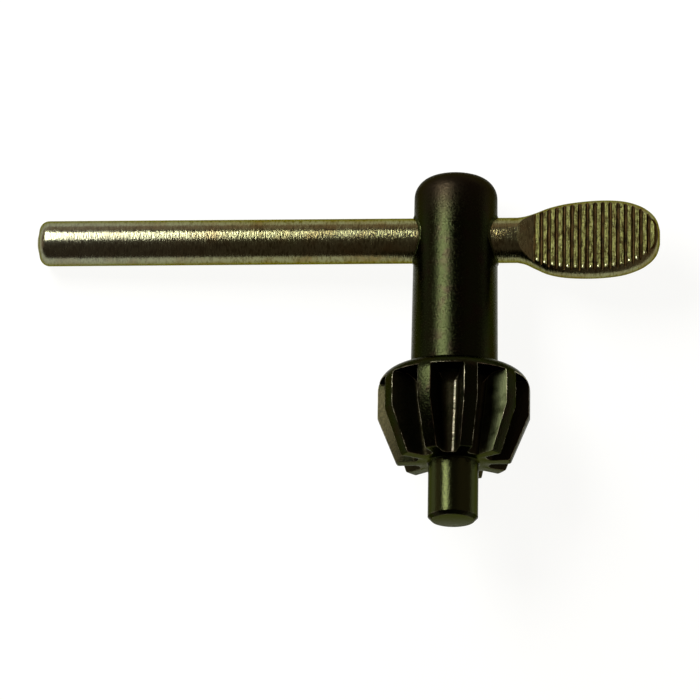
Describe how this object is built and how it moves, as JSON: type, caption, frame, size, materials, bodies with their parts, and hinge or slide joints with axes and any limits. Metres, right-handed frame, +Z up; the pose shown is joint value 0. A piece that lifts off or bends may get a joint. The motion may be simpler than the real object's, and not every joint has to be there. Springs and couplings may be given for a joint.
{
  "type": "drill chuck key",
  "caption": "Chuck key with a bevel pinion and pilot pin on a domed shank, and a cross handle with a ridged thumb paddle.",
  "frame": {"origin": "middle of the bounding box on the level surface the key lies on", "axes": "+X along the cross handle towards the thumb paddle, +Y from the pilot towards the shank's domed end (the key slopes down about 10 degrees), +Z up"},
  "size_m": [0.0994, 0.0574, 0.0245],
  "materials": {
    "black_oxide_steel": "black oxide with a thin oil film, slightly grainy",
    "yellow_passivated_steel": "dark yellow-olive passivated plating, satin with bright flecks"
  },
  "bodies": {
    "root": {"key_body": "black_oxide_steel", "handle_bar": "yellow_passivated_steel"}
  },
  "joints": []
}
